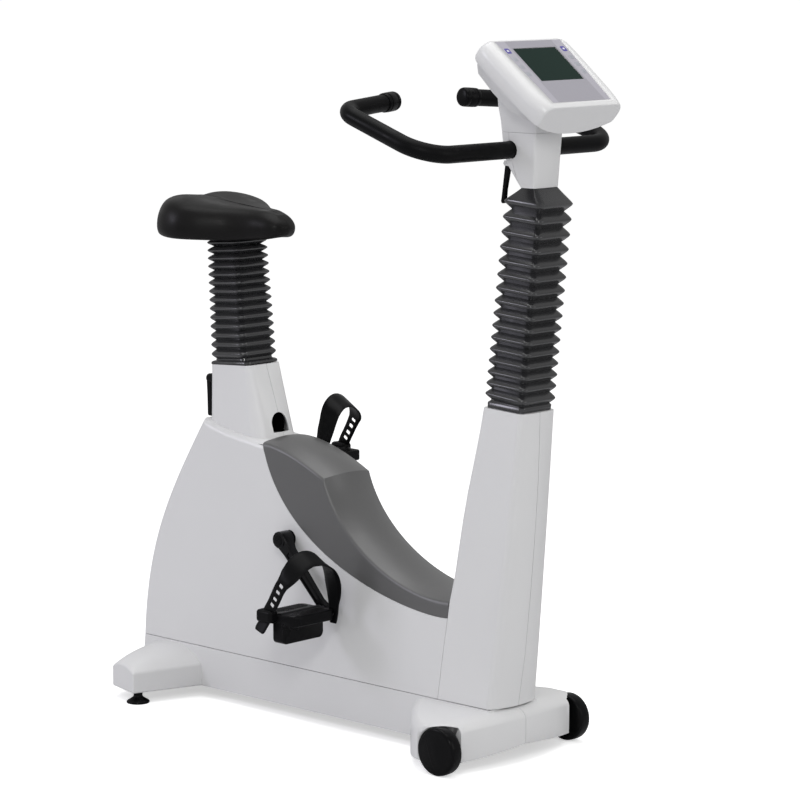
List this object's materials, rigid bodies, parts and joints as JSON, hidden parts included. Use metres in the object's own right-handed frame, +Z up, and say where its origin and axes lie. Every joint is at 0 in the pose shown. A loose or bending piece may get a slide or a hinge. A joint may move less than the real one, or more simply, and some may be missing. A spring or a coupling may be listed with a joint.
{
  "type": "bicycle ergometer",
  "caption": "Upright exercise cycle with a moulded housing, belt-driven braked flywheel, saddle and handlebar column in ribbed bellows, swivelling console.",
  "frame": {"origin": "on the floor under the middle of the whole object's box", "axes": "+X to the front, where the handlebar column stands, +Y to the left of a rider who faces the front, +Z up"},
  "size_m": [1.118, 0.5414, 1.3288],
  "materials": {
    "white_cover": "satin moulded",
    "gray_cover": "satin, fine grain",
    "bellows_rubber": "semi-gloss",
    "black_plastic": "satin moulded",
    "crank_coating": "satin black",
    "bar_coating": "fine matt coating",
    "saddle_cover": "smooth skinned foam",
    "frame_steel": "satin coated",
    "bright_steel": "ground",
    "cast_iron": "machined rim",
    "belt_rubber": "ribbed",
    "wheel_rubber": "smooth gloss",
    "keypad_foil": "printed film",
    "screen": "glossy window"
  },
  "bodies": {
    "frame": {"main_frame": "frame_steel", "body_panel_right": "white_cover", "body_panel_left": "white_cover", "column_cover_right": "white_cover", "column_cover_left": "white_cover", "base_cover_right": "white_cover", "base_cover_left": "white_cover", "top_cover": "gray_cover", "tower_liner": "black_plastic", "drive_belt": "belt_rubber", "brake_magnet": "frame_steel", "control_box": "frame_steel", "power_inlet": "black_plastic", "seat_bellows": "bellows_rubber", "column_bellows": "bellows_rubber", "seat_gas_spring": "black_plastic", "column_gas_spring": "black_plastic", "crank_bearing_right": "bright_steel", "crank_bearing_left": "bright_steel", "flywheel_bearing_right": "bright_steel", "flywheel_bearing_left": "bright_steel"},
    "crankset": {"crank_axle": "bright_steel", "crank_pulley": "black_plastic", "crank_arm_right": "crank_coating", "crank_arm_left": "crank_coating", "crank_cap_right": "black_plastic", "crank_cap_left": "black_plastic", "pedal_spindle_right": "bright_steel", "pedal_spindle_left": "bright_steel"},
    "right_pedal": {"pedal_right": "black_plastic", "pedal_strap_right": "black_plastic"},
    "left_pedal": {"pedal_left": "black_plastic", "pedal_strap_left": "black_plastic"},
    "flywheel_unit": {"flywheel": "cast_iron", "flywheel_shaft": "bright_steel"},
    "seat": {"seat_post": "bright_steel", "seat_gas_rod": "bright_steel", "saddle_clamp": "frame_steel", "saddle_base": "black_plastic", "saddle_pad": "saddle_cover"},
    "seat_clamp_lever": {"seat_lever": "black_plastic"},
    "column_head": {"column_post": "bright_steel", "column_gas_rod": "bright_steel", "head_shell_front": "white_cover", "head_shell_rear": "white_cover", "handlebar_clamp": "frame_steel"},
    "head_clamp_lever": {"handlebar_lever": "black_plastic"},
    "bar": {"handlebar": "bar_coating", "grip_right": "black_plastic", "grip_left": "black_plastic"},
    "console": {"console_base": "white_cover", "console_top": "white_cover", "keypad_foil": "keypad_foil", "display": "screen"},
    "front_wheel_right": {"wheel_right": "wheel_rubber"},
    "front_wheel_left": {"wheel_left": "wheel_rubber"},
    "rear_foot_right": {"levelling_foot_right": "black_plastic"},
    "rear_foot_left": {"levelling_foot_left": "black_plastic"},
    "rocker": {"power_switch": "black_plastic"}
  },
  "joints": [
    {"name": "crank_spin", "type": "hinge", "parent": "frame", "child": "crankset", "pos_m": [-0.126, 0, 0.357], "axis": [0, 1, 0], "continuous": true},
    {"name": "flywheel_spin", "type": "hinge", "parent": "frame", "child": "flywheel_unit", "pos_m": [0.1, 0, 0.205], "axis": [0, 1, 0], "continuous": true},
    {"name": "right_pedal_spin", "type": "hinge", "parent": "crankset", "child": "right_pedal", "pos_m": [-0.00579, -0.16, 0.23679], "axis": [0, 1, 0], "continuous": true},
    {"name": "left_pedal_spin", "type": "hinge", "parent": "crankset", "child": "left_pedal", "pos_m": [-0.24621, 0.16, 0.47721], "axis": [0, 1, 0], "continuous": true},
    {"name": "seat_height", "type": "slide", "parent": "frame", "child": "seat", "axis": [-0.0778, 0, 0.997], "range_m": [-0.12, 0.08], "deforming": ["seat_bellows"]},
    {"name": "seat_lever_turn", "type": "hinge", "parent": "frame", "child": "seat_clamp_lever", "pos_m": [-0.42, 0, 0.635], "axis": [1, 0, 0], "range_deg": [0, 90]},
    {"name": "handlebar_height", "type": "slide", "parent": "frame", "child": "column_head", "axis": [0.1157, 0, 0.9933], "range_m": [-0.2, 0.03], "deforming": ["column_bellows"]},
    {"name": "handlebar_lever_turn", "type": "hinge", "parent": "column_head", "child": "head_clamp_lever", "pos_m": [0.3945, -0.02, 1.108], "axis": [0, 1, 0], "range_deg": [0, 70]},
    {"name": "handlebar_tilt", "type": "hinge", "parent": "column_head", "child": "bar", "pos_m": [0.411, 0, 1.133], "axis": [0, 1, 0], "range_deg": [-45, 30]},
    {"name": "console_swivel", "type": "hinge", "parent": "column_head", "child": "console", "pos_m": [0.43, 0, 1.165], "axis": [0, 0, 1], "range_deg": [0, 180]},
    {"name": "wheel_right_spin", "type": "hinge", "parent": "frame", "child": "front_wheel_right", "pos_m": [0.374, -0.18, 0.045], "axis": [0, 1, 0], "continuous": true},
    {"name": "wheel_left_spin", "type": "hinge", "parent": "frame", "child": "front_wheel_left", "pos_m": [0.374, 0.18, 0.045], "axis": [0, 1, 0], "continuous": true},
    {"name": "levelling_right", "type": "slide", "parent": "frame", "child": "rear_foot_right", "axis": [0, 0, 1], "range_m": [-0.012, 0.003]},
    {"name": "levelling_left", "type": "slide", "parent": "frame", "child": "rear_foot_left", "axis": [0, 0, 1], "range_m": [-0.012, 0.003]},
    {"name": "switch_rock", "type": "hinge", "parent": "frame", "child": "rocker", "pos_m": [0.332, 0.06, 0.17], "axis": [1, 0, 0], "range_deg": [0, 7]}
  ],
  "couplings": [
    {"joint": "flywheel_spin", "follows": "crank_spin", "ratio": 6}
  ]
}
